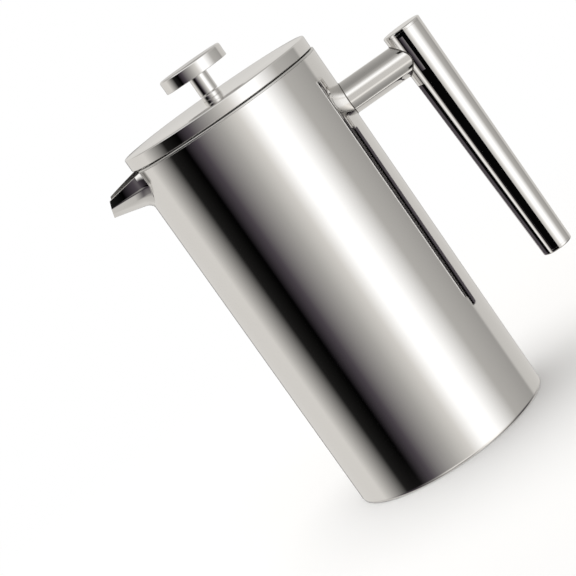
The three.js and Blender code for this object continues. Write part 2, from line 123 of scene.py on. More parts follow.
class Graph:
    """A shader, world or geometry node tree that is filled from Python expressions."""

    def __init__(self, tree: bpy.types.NodeTree) -> None:
        """Clears the tree that is to be filled."""
        self.tree = tree
        tree.nodes.clear()

    def node(
        self, kind: str, inputs: dict[Any, Any] | None = None, output: Any = 0, **settings: Any
    ) -> Wire:
        """Adds one node.

        Args:
            kind: the node's type.
            inputs: a value or a Wire for each input, by name or number.
            output: the name or number of the output that is wanted.
            settings: its own properties, which are set first.

        Returns:
            The chosen output, if the node has any.
        """
        made = self.tree.nodes.new(kind)
        for key, value in settings.items():
            setattr(made, key, value)
        for key, value in (inputs or {}).items():
            if isinstance(value, Wire):
                self.tree.links.new(value.socket, made.inputs[key])
            else:
                made.inputs[key].default_value = value
        return Wire(self, made.outputs[output] if made.outputs else None)

    def ramp(self, place: Wire, stops: Sequence[tuple[float, Rgb]]) -> Wire:
        """Adds a colour ramp.

        Args:
            place: where on the ramp the colour is read, from 0 to 1.
            stops: (place, colour) pairs in order of place.

        Returns:
            The colour.
        """
        made = self.node("ShaderNodeValToRGB", {0: place})
        elements = made.socket.node.color_ramp.elements
        while len(elements) < len(stops):
            elements.new(1.0)
        for element, (at, colour) in zip(elements, stops):
            element.position = at
            element.color = (*colour, 1.0)
        return made

    def math(self, operation: str, *values: Any) -> Wire:
        """A Math node."""
        return self.node("ShaderNodeMath", dict(enumerate(values)), operation=operation)

    def split(self, vector: Wire) -> tuple[Wire, Wire, Wire]:
        """The X, Y and Z of a vector as three values."""
        made = self.node("ShaderNodeSeparateXYZ", {0: vector})
        return tuple(Wire(self, output) for output in made.socket.node.outputs)

    def join(self, x: Any, y: Any, z: Any) -> Wire:
        """One vector from three values."""
        return self.node("ShaderNodeCombineXYZ", {0: x, 1: y, 2: z})

    def length(self, x: Wire, y: Wire) -> Wire:
        """The distance of (x, y) from the origin."""
        return self.math("SQRT", x * x + y * y)

    def place(self, output: str) -> Wire:
        """One of the texture coordinates."""
        return self.node("ShaderNodeTexCoord", output=output)

    def noise(self, **inputs: Any) -> Wire:
        """A noise texture's value."""
        return self.node("ShaderNodeTexNoise", inputs)

    def soft_step(self, value: Wire, low: float, high: float, start: float = 0.0, end: float = 1.0) -> Wire:
        """A smooth step from start to end, while the value goes from low to high."""
        inputs = {0: value, 1: low, 2: high, 3: start, 4: end}
        return self.node("ShaderNodeMapRange", inputs, interpolation_type="SMOOTHSTEP")

    def mix(self, factor: Wire, first: Any, second: Any) -> Wire:
        """A mix of two colours."""
        return self.node("ShaderNodeMix", {0: factor, 6: first, 7: second}, 2, data_type="RGBA")

    def blend(self, factor: Wire, first: Wire, second: Wire) -> Wire:
        """A mix of two shaders."""
        return self.node("ShaderNodeMixShader", {0: factor, 1: first, 2: second})


def new_material(name: str) -> tuple[bpy.types.Material, Graph]:
    """A material, and its empty node tree."""
    made = bpy.data.materials.new(name)
    made.use_nodes = True
    return made, Graph(made.node_tree)


# ---- Finishes ---------------------------------------------------------------


class Grain(Enum):
    """Which way a surface's fine polishing or drawing lines run."""

    AROUND = "round the pot's axis"
    UPRIGHT = "along the pot's axis"
    OUTWARD = "along X, as on the arm"


class Slot(Enum):
    """The record's material slots."""

    POLISHED = "polished_steel"
    SATIN = "satin_steel"
    MESH = "wire_mesh"


@dataclass(frozen=True)
class Steel:
    """Stainless steel whose polish, lines and handling marks vary over the surface."""

    name: str
    slot: Slot = Slot.POLISHED
    tint: Rgb = (0.80, 0.79, 0.775)
    roughness: float = 0.07
    least_roughness: float = 0.02
    spread: float = 0.05
    grain: Grain = Grain.AROUND
    lines_per_mm: float = 2.2
    line_stretch: float = 90.0
    lines_round: float = 2.0
    line_depth_mm: float = 0.0006
    smudge_mm: float = 38.0
    smudge_roughness: float = 0.62
    mark_range: Point = (0.52, 0.78)
    speck_mm: float = 1.4
    speck_share: float = 0.3
    stain: Rgb = (0.70, 0.69, 0.67)
    stain_share: float = 0.12

    def _along_lines(self, graph: Graph) -> Wire:
        """Object coordinates in millimetres, squeezed so that a noise runs in lines."""
        x, y, z = graph.split(graph.place("Object"))
        fine = self.lines_per_mm / MM
        slow = fine / self.line_stretch
        if self.grain is Grain.UPRIGHT:
            return graph.join(x * fine, y * fine, z * slow)
        if self.grain is Grain.OUTWARD:
            return graph.join(x * slow, y * fine, z * fine)
        turn = graph.math("ARCTAN2", y, x)
        return graph.join(graph.length(x, y) * fine, turn * self.lines_round, z * fine)

    def material(self) -> bpy.types.Material:
        """Builds the finish.

        Returns:
            A material with one Principled shader.
        """
        made, graph = new_material(self.name)
        where = graph.place("Object")
        lines = graph.noise(Vector=self._along_lines(graph), Scale=1.0, Detail=3.0)
        size = 1 / (self.smudge_mm * MM)
        smudge = graph.noise(Vector=where, Scale=size, Detail=5.0, Roughness=self.smudge_roughness)
        speck = graph.noise(Vector=where, Scale=1 / (self.speck_mm * MM), Detail=2.0)
        marks = graph.soft_step(smudge, *self.mark_range)
        rough = self.roughness + (lines - 0.5) * self.spread + marks * self.spread
        rough = rough + (speck - 0.5) * (self.spread * self.speck_share)
        depth = self.line_depth_mm * MM
        inputs = {
            "Base Color": graph.mix(marks * self.stain_share, (*self.tint, 1.0), (*self.stain, 1.0)),
            "Metallic": 1.0,
            "Roughness": graph.math("MAXIMUM", rough, self.least_roughness),
            "Normal": graph.node("ShaderNodeBump", {"Strength": 1.0, "Distance": depth, "Height": lines}),
        }
        shader = graph.node("ShaderNodeBsdfPrincipled", inputs)
        graph.node("ShaderNodeOutputMaterial", {"Surface": shader})
        return made


@dataclass(frozen=True)
class Finishes:
    """The press's finishes, made once and shared."""

    mirror: Steel = Steel("mirror_steel", roughness=0.05, spread=0.035)
    bright: Steel = Steel("bright_steel", roughness=0.03, spread=0.02, line_depth_mm=0.0004)
    bar: Steel = Steel("bright_bar_steel", roughness=0.04, spread=0.03, grain=Grain.UPRIGHT)
    upright: Steel = Steel("drawn_mirror_steel", grain=Grain.UPRIGHT, lines_per_mm=1.4)
    outward: Steel = Steel(
        "arm_steel", grain=Grain.OUTWARD, roughness=0.09, lines_per_mm=1.8, line_depth_mm=0.0022
    )
    satin: Steel = Steel(
        "satin_steel", Slot.SATIN, (0.66, 0.655, 0.64), roughness=0.27, spread=0.16,
        lines_per_mm=4.0, line_depth_mm=0.004, stain_share=0.35,
    )
    plate: Steel = Steel(
        "pressed_plate_steel", Slot.SATIN, (0.62, 0.615, 0.6), roughness=0.3, spread=0.12,
        lines_per_mm=3.0, line_depth_mm=0.003, stain_share=0.4,
    )
    wire: Steel = Steel(
        "wire_steel", Slot.MESH, (0.56, 0.55, 0.53), roughness=0.34, spread=0.12,
        lines_per_mm=5.0, line_depth_mm=0.001, smudge_mm=16.0, stain_share=0.5,
    )
    # Weld finish: a real weld bead's steel, tinted near black as painted shade for the dark line in the
    # arm's seams; its stain varies at random.
    weld: Steel = Steel(
        "weld_steel", tint=(0.17, 0.16, 0.15), roughness=0.4, spread=0.2, lines_per_mm=3.0,
        line_depth_mm=0.004, smudge_mm=6.0, stain=(0.42, 0.33, 0.24), stain_share=0.6,
    )


FINISH = Finishes()
MADE: dict[str, bpy.types.Material] = {}


def finish(steel: Steel) -> bpy.types.Material:
    """The material of a finish, built the first time that it is asked for."""
    if steel.name not in MADE:
        MADE[steel.name] = steel.material()
    return MADE[steel.name]


# ---- Outlines and meshes ----------------------------------------------------


def rounded(corners: Sequence[Corner], steps: int = 6, closed: bool = True) -> list[Point]:
    """An outline whose corners are turned into arcs, with a point just before and after each arc.

    Args:
        corners: (x, y, radius) of each corner, in order.
        steps: facets in each arc.
        closed: whether the last corner joins the first.

    Returns:
        The outline's points.
    """
    points: list[Point] = []
    count = len(corners)
    for i, (x, y, radius) in enumerate(corners):
        at = Vector((x, y))
        if radius <= 0 or (not closed and i in (0, count - 1)):
            points.append((x, y))
            continue
        before = Vector(corners[i - 1][:2]) - at
        after = Vector(corners[(i + 1) % count][:2]) - at
        half = before.angle(after) / 2
        reach = min(radius / math.tan(half), MOST_REACH * before.length, MOST_REACH * after.length)
        radius = reach * math.tan(half)
        back, on = before.normalized(), after.normalized()
        middle = at + (back + on).normalized() * (radius / math.sin(half))
        start, stop = at + back * reach, at + on * reach
        longest = SUPPORT_REACH * reach
        supports = [min(longest, SUPPORT_SHARE * side.length + SUPPORT_LEAST) for side in (before, after)]
        points.append(tuple(start + back * supports[0]))
        sweep = (start - middle).angle_signed(stop - middle)
        for k in range(steps + 1):
            turn = Matrix.Rotation(-sweep * k / steps, 2)
            points.append(tuple(middle + turn @ (start - middle)))
        points.append(tuple(stop + on * supports[1]))
    return points


def slot_outline(low: Point, high: Point, steps: int = 6) -> list[Point]:
    """A slot between two opposite corners, with its ends almost fully rounded."""
    (x0, y0), (x1, y1) = low, high
    radius = min(x1 - x0, y1 - y0) / 2 * SLOT_END
    return rounded([(x0, y0, radius), (x1, y0, radius), (x1, y1, radius), (x0, y1, radius)], steps)


def linked(name: str, data: bpy.types.ID) -> bpy.types.Object:
    """An object for some data, linked into the scene."""
    made = bpy.data.objects.new(name, data)
    bpy.context.scene.collection.objects.link(made)
    return made


def finished_mesh(
    name: str, points: Sequence[Sequence[float]], faces: Sequence[Sequence[int]]
) -> bpy.types.Object:
    """An object from points in millimetres, smooth between its sharp edges.

    Args:
        name: the piece's name.
        points: its vertices.
        faces: its faces, as vertex numbers.

    Returns:
        The object, linked into the scene.
    """
    mesh = bpy.data.meshes.new(PREFIX + name)
    mesh.from_pydata([tuple(c * MM for c in p) for p in points], [], faces)
    made = linked(PREFIX + name, mesh)
    smooth(made, outward=True)
    return made


def smooth(piece: bpy.types.Object, outward: bool = False) -> None:
    """Turns the faces outward if asked, and shades the piece smooth between its sharp edges."""
    mesh = piece.data
    work = bmesh.new()
    work.from_mesh(mesh)
    bmesh.ops.remove_doubles(work, verts=work.verts, dist=1e-7)
    if outward:
        bmesh.ops.recalc_face_normals(work, faces=work.faces)
    work.to_mesh(mesh)
    work.free()
    mesh.polygons.foreach_set("use_smooth", [True] * len(mesh.polygons))
    mesh.set_sharp_from_angle(angle=SHARP_ANGLE)
    mesh.update()


def revolve(
    name: str,
    outline: Sequence[Point] | Callable[[float], Sequence[Point]],
    segments: int = 192,
    place: Matrix | None = None,
) -> bpy.types.Object:
    """A closed outline swept round the Z axis.

    Args:
        name: the piece's name.
        outline: (radius, height) points, or a function that gives as many for each angle.
        segments: facets in a full turn.
        place: where the finished shape goes.

    Returns:
        The object.
    """
    at = outline if callable(outline) else lambda _: outline
    first = at(0.0)
    count = len(first)
    poles = [r < 1e-9 for r, _ in first]
    points: list[Vector] = []
    number: list[list[int]] = []
    for s in range(segments):
        angle = 2 * math.pi * s / segments
        row = []
        for i, (r, z) in enumerate(at(angle)):
            if poles[i] and s:
                row.append(number[0][i])
                continue
            row.append(len(points))
            points.append(Vector((r * math.cos(angle), r * math.sin(angle), z)))
        number.append(row)
    if place is not None:
        points = [place @ p for p in points]
    faces = []
    for s in range(segments):
        here, there = number[s], number[(s + 1) % segments]
        for i in range(count):
            j = (i + 1) % count
            corners = list(dict.fromkeys((here[i], there[i], there[j], here[j])))
            if len(corners) > 2:
                faces.append(corners)
    return finished_mesh(name, points, faces)


def skin(name: str, sections: Sequence[Sequence[Vector]]) -> bpy.types.Object:
    """A closed skin over loops of as many points each, with both ends filled."""
    count = len(sections[0])
    points = [p for section in sections for p in section]
    faces: list[Sequence[int]] = []
    for s in range(len(sections) - 1):
        for i in range(count):
            j = (i + 1) % count
            faces.append((s * count + i, s * count + j, (s + 1) * count + j, (s + 1) * count + i))
    half = count // 2
    for start in (0, (len(sections) - 1) * count):
        for i in range(half - 1):
            faces.append((start + i, start + i + 1, start + count - 2 - i, start + count - 1 - i))
    return finished_mesh(name, points, faces)


def bead(
    name: str, path: Sequence[Vector], radius: float, closed: bool = True, sides: int = 10
) -> bpy.types.Object:
    """A round weld bead along a path.

    Args:
        name: the piece's name.
        path: points in millimetres.
        radius: of the bead's section.
        closed: whether the path comes back to its start.
        sides: facets round the section.

    Returns:
        The object.
    """
    count = len(path)
    middle = sum(path, Vector()) / count
    points: list[Vector] = []
    for i, at in enumerate(path):
        ahead = path[(i + 1) % count] if closed or i < count - 1 else at
        behind = path[i - 1] if closed or i else at
        along = (ahead - behind).normalized()
        out = (at - middle).cross(along).normalized()
        up = along.cross(out)
        for k in range(sides):
            angle = 2 * math.pi * k / sides
            points.append(at + (out * math.cos(angle) + up * math.sin(angle)) * radius)
    faces: list[Sequence[int]] = []
    for i in range(count if closed else count - 1):
        for k in range(sides):
            here, there = i * sides, ((i + 1) % count) * sides
            nxt = (k + 1) % sides
            faces.append((here + k, here + nxt, there + nxt, there + k))
    if not closed:
        faces.append(tuple(range(sides)))
        faces.append(tuple(range((count - 1) * sides, count * sides)))
    return finished_mesh(name, points, faces)


def settle(piece: bpy.types.Object) -> None:
    """Leaves what a piece's modifiers make as its plain mesh, and removes them."""
    seen = piece.evaluated_get(bpy.context.evaluated_depsgraph_get())
    mesh = bpy.data.meshes.new_from_object(seen)
    piece.modifiers.clear()
    piece.data = mesh


def dress(piece: bpy.types.Object, body: str, steel: Steel, replaces: bool = True) -> None:
    """Gives a piece its finish and body, and hides the CAD node that it stands for.

    Args:
        piece: the finished object.
        body: the CAD body it rides on.
        steel: its finish.
        replaces: whether it stands for the CAD node of its name.
    """
    piece.data.materials.clear()
    piece.data.materials.append(finish(steel))
    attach(piece, body)
    if replaces:
        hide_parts(piece.name.removeprefix(PREFIX))
    LOG.info("%s: %d faces on %s", piece.name, len(piece.data.polygons), body)


def turned(
    name: str, corners: Sequence[Corner], body: str, steel: Steel,
    segments: int = 192, place: Matrix | None = None, steps: int = 6,
) -> None:
    """Revolves an outline with rounded corners and dresses it as its CAD node."""
    dress(revolve(name, rounded(corners, steps), segments, place), body, steel)


# ---- Geometry node tools ----------------------------------------------------


class GeometryTool:
    """A geometry node tree with named inputs, applied to an object as a plain mesh."""

    def __init__(self, name: str, **inputs: str) -> None:
        """Makes an empty tree with its inputs.

        Args:
            name: the tree's name.
            inputs: the kind of each named input, such as Float or Int.
        """
        self.tree = bpy.data.node_groups.new(name, "GeometryNodeTree")
        self.graph = Graph(self.tree)
        sockets = self.tree.interface
        sockets.new_socket("Geometry", in_out="INPUT", socket_type="NodeSocketGeometry")
        self.ids = {
            label: sockets.new_socket(label, in_out="INPUT", socket_type=f"NodeSocket{kind}").identifier
            for label, kind in {**inputs, "Material": "Material"}.items()
        }
        sockets.new_socket("Geometry", in_out="OUTPUT", socket_type="NodeSocketGeometry")
        self.entry = self.tree.nodes.new("NodeGroupInput")

    def read(self, *labels: str) -> list[Wire]:
        """Some of the tree's inputs."""
        return [Wire(self.graph, self.entry.outputs[label]) for label in labels]

    def end(self, geometry: Wire) -> None:
        """Closes the tree with Realize Instances and Set Material."""
        whole = self.graph.node("GeometryNodeRealizeInstances", {0: geometry})
        (material,) = self.read("Material")
        dressed = self.graph.node("GeometryNodeSetMaterial", {0: whole, "Material": material})
        self.graph.node("NodeGroupOutput", {0: dressed})

    def apply(self, piece: bpy.types.Object, **values: Any) -> bpy.types.Object:
        """Runs the tree on a piece and leaves the result as its plain mesh.

        Args:
            piece: the object that the tree works on.
            values: its inputs, by name.

        Returns:
            The same object.
        """
        modifier = piece.modifiers.new(self.tree.name, "NODES")
        modifier.node_group = self.tree
        for label, value in values.items():
            modifier[self.ids[label]] = value
        settle(piece)
        piece.data.name = piece.name
        smooth(piece, outward=True)
        return piece


class Punch(GeometryTool):
    """A tree that cuts copies of one cutter, set round the Z axis, out of a piece."""

    def __init__(self) -> None:
        """Builds the tree."""
        super().__init__("punched_round", Cutter="Object", Count="Int", Step="Float", Start="Float")
        graph = self.graph
        piece, tool, count, step, start = self.read("Geometry", "Cutter", "Count", "Step", "Start")
        cutter = graph.node("GeometryNodeObjectInfo", {"Object": tool}, "Geometry")
        spots = graph.node("GeometryNodeMeshLine", {"Count": count, "Offset": (0.0, 0.0, 0.0)})
        angle = start + graph.node("GeometryNodeInputIndex") * step
        inputs = {"Points": spots, "Instance": cutter, "Rotation": graph.join(0.0, 0.0, angle)}
        placed = graph.node("GeometryNodeInstanceOnPoints", inputs)
        inputs = {"Mesh 1": piece, "Mesh 2": graph.node("GeometryNodeRealizeInstances", {0: placed})}
        self.end(graph.node("GeometryNodeMeshBoolean", inputs, operation="DIFFERENCE", solver="EXACT"))

    def cut(
        self, piece: bpy.types.Object, cutter: bpy.types.Object, steel: Steel, count: int,
        step: float | None = None, start: float = 0.0,
    ) -> None:
        """Punches a piece and removes the cutter.

        Args:
            piece: the piece to punch.
            cutter: the first hole's shape.
            steel: the piece's finish.
            count: how many holes there are.
            step: the angle from hole to hole, or None for a full ring.
            start: the first hole's angle.
        """
        turn = 2 * math.pi / count if step is None else step
        self.apply(piece, Cutter=cutter, Count=count, Step=turn, Start=start, Material=finish(steel))
        bpy.data.objects.remove(cutter)


class Weave(GeometryTool):
    """A tree that weaves a round disc of plain wire cloth with a hole at its middle."""

    def __init__(self) -> None:
        """Builds the tree."""
        labels = ("Radius", "Hole", "Pitch", "Wire", "Height")
        super().__init__("wire_cloth", **dict.fromkeys(labels, "Float"))
        first = self._half(1.0, 0.0)
        second = self._half(-1.0, math.pi / 2)
        both = self.graph.node("GeometryNodeJoinGeometry", {0: first})
        self.tree.links.new(second.socket, both.socket.node.inputs[0])
        self.end(both)

    def _half(self, sign: float, turn: float) -> Wire:
        """Adds the wires that run one way, over and under those of the other way.

        Args:
            sign: 1 or -1, as these wires start over or under.
            turn: the angle that they run at.

        Returns:
            The wires.
        """
        graph = self.graph
        radius, hole, pitch, wire, height = self.read("Radius", "Hole", "Pitch", "Wire", "Height")
        across = graph.math("FLOOR", radius / pitch)
        edge = across * pitch * -1.0
        along = graph.node("GeometryNodeMeshLine", {
            "Count": across * 4.0 + 1.0,
            "Start Location": graph.join(edge, 0.0, 0.0),
            "Offset": graph.join(pitch * 0.5, 0.0, 0.0),
        })
        beside = graph.node("GeometryNodeMeshLine", {
            "Count": across * 2.0 + 1.0,
            "Start Location": graph.join(0.0, edge, 0.0),
            "Offset": graph.join(0.0, pitch, 0.0),
        })
        placed = graph.node("GeometryNodeInstanceOnPoints", {"Points": beside, "Instance": along})
        threads = graph.node("GeometryNodeRealizeInstances", {0: placed})
        x, y, _ = graph.split(graph.node("GeometryNodeInputPosition"))
        wave = graph.math("COSINE", (x + y) / pitch * math.pi) * wire * (0.5 * sign)
        moved = graph.node("GeometryNodeSetPosition", {0: threads, "Offset": graph.join(0.0, 0.0, wave)})
        distance = graph.length(x, y)
        outside = graph.node("FunctionNodeCompare", {0: distance, 1: radius}, operation="GREATER_THAN")
        inside = graph.node("FunctionNodeCompare", {0: distance, 1: hole}, operation="LESS_THAN")
        gone = graph.node("FunctionNodeBooleanMath", {0: outside, 1: inside}, operation="OR")
        kept = graph.node("GeometryNodeDeleteGeometry", {0: moved, "Selection": gone}, domain="POINT")
        curve = graph.node("GeometryNodeMeshToCurve", {0: kept})
        section = graph.node("GeometryNodeCurvePrimitiveCircle", {"Resolution": 4, "Radius": wire * 0.5})
        inputs = {0: curve, "Profile Curve": section, "Fill Caps": True}
        solid = graph.node("GeometryNodeCurveToMesh", inputs)
        inputs = {0: solid, "Translation": graph.join(0.0, 0.0, height), "Rotation": (0.0, 0.0, turn)}
        return graph.node("GeometryNodeTransform", inputs)


class Coil(GeometryTool):
    """A tree that winds a closed coil spring round a ring."""

    def __init__(self) -> None:
        """Builds the tree."""
        labels = {"Ring": "Float", "Coil": "Float", "Turns": "Int", "Steps": "Int", "Wire": "Float"}
        super().__init__("ring_coil", **labels, Height="Float")
        graph = self.graph
        ring, coil, turns, steps, wire, height = self.read(*labels, "Height")
        inputs = {"Resolution": turns * steps, "Radius": 1.0}
        circle = graph.node("GeometryNodeCurvePrimitiveCircle", inputs)
        number = graph.node("GeometryNodeInputIndex")
        around = number / (turns * steps) * (2 * math.pi)
        winding = number / steps * (2 * math.pi)
        reach = ring + graph.math("COSINE", winding) * coil
        where = graph.join(
            reach * graph.math("COSINE", around),
            reach * graph.math("SINE", around),
            height + graph.math("SINE", winding) * coil,
        )
        moved = graph.node("GeometryNodeSetPosition", {0: circle, "Position": where})
        section = graph.node("GeometryNodeCurvePrimitiveCircle", {"Resolution": 6, "Radius": wire * 0.5})
        self.end(graph.node("GeometryNodeCurveToMesh", {0: moved, "Profile Curve": section}))


def blank(name: str) -> bpy.types.Object:
    """An object with an empty mesh, for a tree that makes its own geometry."""
    return linked(PREFIX + name, bpy.data.meshes.new(PREFIX + name))


# ---- Places from the frame --------------------------------------------------


@dataclass(frozen=True)
class Box:
    """A CAD node's box at rest, in millimetres."""

    low: Vector
    high: Vector

    @classmethod
    def of(cls, node: str) -> Box:
        """Reads a node's box from the frame."""
        low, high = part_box(node)
        return cls(low / MM, high / MM)

    @property
    def radius(self) -> float:
        """Half of its width along Y, which is the radius of a round piece."""
        return (self.high.y - self.low.y) / 2

    @property
    def middle(self) -> Vector:
        """Its centre."""
        return (self.low + self.high) / 2


def lerp(low: float, high: float, share: float) -> float:
    """The value at a share of the way from low to high."""
    return low + (high - low) * share


def inner_radius() -> float:
    """The inside of the beaker, a gap away from the screen that runs in it."""
    return Box.of("fine_screen").radius + SCREEN_GAP


# ---- The pot ----------------------------------------------------------------


@dataclass
class Spout:
    """The beak: a bent sheet from the inner wall, through both walls, to an open tip.

    A pair of numbers holds a value at the root and at the tip.
    """

    sheet: float = 1.1
    depth: Point = (17.4, 8.8)
    half_width: Point = (20.4, 12.0)
    drop: Point = (0.6, 4.1)
    low_width: Point = (0.74, 0.56)
    low_height: Point = (0.215, 0.3)
    low_round: Point = (12, 2.6)
    fold_width: Point = (1.0, 0.94)
    fold_height: Point = (0.6, 0.58)
    fold_round: Point = (2.4, 0.9)
    keel_round: Point = (14, 2.2)
    lip_lean: float = 3.4
    bow: float = 1.4
    flare: float = 1.7
    flare_share: float = 0.16
    fold_flare: float = 0.6
    rim_flare: float = 0.25
    edge_steps: int = 7
    edge_crown: float = 0.3
    stations: int = 30
    crowding: float = 1.25
    cutter_reach: Point = (0.6, 1.3)
    weld_radius: float = 0.22

    def __post_init__(self) -> None:
        """Takes the wall's radii, the rim's height and the spout's reach from the frame."""
        self.outer = Box.of("outer_shell").radius
        self.rim = Box.of("inner_beaker").high.z
        self.inner = inner_radius()
        self.tip = Box.of("spout").low.x

    def side(self, share: float, grow: float = 0.0) -> list[Point]:
        """The outer outline at a share of the way to the tip, from rim to rim through the keel."""
        width = lerp(*self.half_width, share**self.bow)
        rim = self.rim - lerp(*self.drop, share)
        height = lerp(*self.depth, share) + grow
        keel = rim - height
        low_y = width * lerp(*self.low_width, share) + grow
        fold_y = width * lerp(*self.fold_width, share) + grow * self.fold_flare
        low = (low_y, keel + height * lerp(*self.low_height, share), lerp(*self.low_round, share))
        fold = (fold_y, keel + height * lerp(*self.fold_height, share), lerp(*self.fold_round, share))
        right = [low, fold, (width + grow * self.rim_flare, rim, 0.0)]
        left = [(-y, z, r) for y, z, r in reversed(right)]
        middle = (0.0, keel, lerp(*self.keel_round, share))
        return rounded([*left, middle, *right], steps=7, closed=False)

    def on_wall(self, radius: float, y: float) -> float:
        """The X on the spout's side of a wall at some Y."""
        return -math.sqrt(max(radius**2 - y * y, 1.0))

    def section(self, share: float) -> list[Vector]:
        """The sheet's whole section, its upper edges rounded, set on the wall or along the beak."""
        near = max(0.0, 1 - share / self.flare_share)
        outer = self.side(share, self.flare * near**2)
        inner: list[Point] = []
        for i, (y, z) in enumerate(outer):
            ahead = Vector(outer[min(i + 1, len(outer) - 1)])
            behind = Vector(outer[max(i - 1, 0)])
            along = (ahead - behind).normalized()
            inner.append((y - along.y * self.sheet, z + along.x * self.sheet))
        half = self.sheet / 2
        outer = self._trimmed(outer, half * self.edge_crown)
        inner = self._trimmed(inner, half * self.edge_crown)
        right = self._edge(outer[-1], -half)
        left = self._edge(outer[0], half)
        middle = len(right) // 2
        loop = [*reversed(left[:middle]), *outer, *right, *reversed(inner), *reversed(left[middle:])]
        keel = min(z for _, z in outer)
        height = max(z for _, z in outer) - keel
        points = []
        for y, z in loop:
            lean = self.lip_lean * (z - keel) / height
            points.append(Vector((lerp(self.on_wall(self.outer, y), self.tip + lean, share), y, z)))
        return points

    @staticmethod
    def _trimmed(side: list[Point], cut: float) -> list[Point]:
        """An outline with its two upper ends lowered, to leave room for the rounded edge."""
        (y0, z0), *rest, (y1, z1) = side
        return [(y0, z0 - cut), *rest, (y1, z1 - cut)]

    def _edge(self, start: Point, half: float) -> list[Point]:
        """The half circle over a trimmed end, from its outer side to its inner side."""
        y, z = start
        turns = [math.pi * k / self.edge_steps for k in range(1, self.edge_steps)]
        rise = abs(half) * self.edge_crown
        return [(y + half - half * math.cos(a), z + rise * math.sin(a)) for a in turns]

    def root(self) -> list[Vector]:
        """The section where the sheet ends, on the beaker's wall."""
        start = self.section(self.flare_share)
        return [Vector((self.on_wall(self.inner, p.y), p.y, p.z)) for p in start]

    def notch(self, gap: float) -> bpy.types.Object:
        """The cutter that opens a wall for the spout, with a gap round the sheet."""
        outline = self.side(0.0, gap)
        above = self.rim + self.depth[0]
        loop = [(outline[0][0], above), *outline, (outline[-1][0], above)]
        ends = (-self.inner * self.cutter_reach[0], -self.outer * self.cutter_reach[1])
        return skin("notch", [[Vector((x, y, z)) for y, z in loop] for x in ends])

    def build(self) -> None:
        """Makes the beak and the weld line round its root."""
        shares = [(i / self.stations) ** self.crowding for i in range(self.stations + 1)]
        dress(skin("spout", [self.root(), *[self.section(s) for s in shares]]), "pot", FINISH.mirror)
        path = [Vector((self.on_wall(self.outer, y), y, z)) for y, z in self.side(0.0, self.flare)]
        weld = bead("spout_weld", path, self.weld_radius, closed=False)
        dress(weld, "pot", FINISH.bright, replaces=False)


@dataclass
class Pot:
    """The double-wall pot: outer shell, inner beaker and base plate."""

    shell_wall: float = 0.7
    beaker_wall: float = 0.6
    base_lip: float = 3.2
    base_round: float = 1.3
    rim_thickness: float = 1.0
    rim_round: float = 0.48
    mouth_round: float = 0.4
    shell_top_round: float = 0.12
    rim_gap: float = 0.04
    rim_inset: float = 0.03
    floor_round: float = 5.0
    emboss_radius: float = 36.0
    emboss_width: float = 2.4
    emboss_depth: float = 0.35
    emboss_round: float = 0.5
    plate_overlap: float = 0.22
    shell_notch_gap: float = 0.85
    beaker_notch_gap: float = 0.1
    spout: Spout = field(default_factory=Spout)

    def __post_init__(self) -> None:
        """Takes the radii and heights from the frame."""
        self.radius = Box.of("outer_shell").radius
        beaker = Box.of("inner_beaker")
        self.rim = beaker.high.z
        self.under = beaker.low.z
        self.inner = self.spout.inner

    def _notched(self, piece: bpy.types.Object, gap: float, steel: Steel) -> None:
        """Opens a wall for the spout and dresses it."""
        notch = self.spout.notch(gap)
        cut = piece.modifiers.new("notch", "BOOLEAN")
        cut.operation = "DIFFERENCE"
        cut.solver = "EXACT"
        cut.object = notch
        settle(piece)
        bpy.data.objects.remove(notch)
        smooth(piece)
        dress(piece, "pot", steel)

    def build_shell(self) -> None:
        """Makes the outer wall, rounded and turned in at the base."""
        top, wall = self.rim - self.rim_thickness, self.shell_wall
        outside, inside, lip = self.radius, self.radius - wall, self.radius - self.base_lip
        corners = [
            (lip, 0, FINE), (outside, 0, self.base_round),
            (outside, top, self.shell_top_round), (inside, top, CRISP),
            (inside, wall, self.base_round - wall), (lip, wall, FINE),
        ]
        piece = revolve("outer_shell", rounded(corners), 256)
        self._notched(piece, self.shell_notch_gap, FINISH.upright)

    def build_beaker(self) -> None:
        """Makes the inner wall, its rounded floor and the rim on the outer wall."""
        outer, edge, floor = self.inner + self.beaker_wall, self.radius - self.rim_inset, self.under
        under = self.rim - self.rim_thickness + self.rim_gap
        corners = [
            (0, floor, 0), (outer, floor, self.floor_round + self.beaker_wall),
            (outer, under, SOFT), (edge, under, CRISP),
            (edge, self.rim, self.rim_round), (self.inner, self.rim, self.mouth_round),
            (self.inner, floor + self.beaker_wall, self.floor_round), (0, floor + self.beaker_wall, 0),
        ]
        piece = revolve("inner_beaker", rounded(corners), 256)
        self._notched(piece, self.beaker_notch_gap, FINISH.satin)

    def build_base(self) -> None:
        """Makes the base plate with a shallow pressed ring."""
        plate = Box.of("base_plate")
        edge = plate.radius + self.plate_overlap
        low, high, deep = plate.low.z, plate.high.z, self.emboss_depth
        start, stop = self.emboss_radius - self.emboss_width, self.emboss_radius + self.emboss_width
        corners = [
            (0, low, 0), (start, low, self.emboss_round),
            (start + deep, low + deep, SOFT), (stop - deep, low + deep, SOFT),
            (stop, low, self.emboss_round), (edge, low, EASED), (edge, high, BROKEN), (0, high, 0),
        ]
        turned("base_plate", corners, "pot", FINISH.plate)

    def build(self) -> None:
        """Makes the whole pot with its spout."""
        self.build_shell()
        self.build_beaker()
        self.build_base()
        self.spout.build()


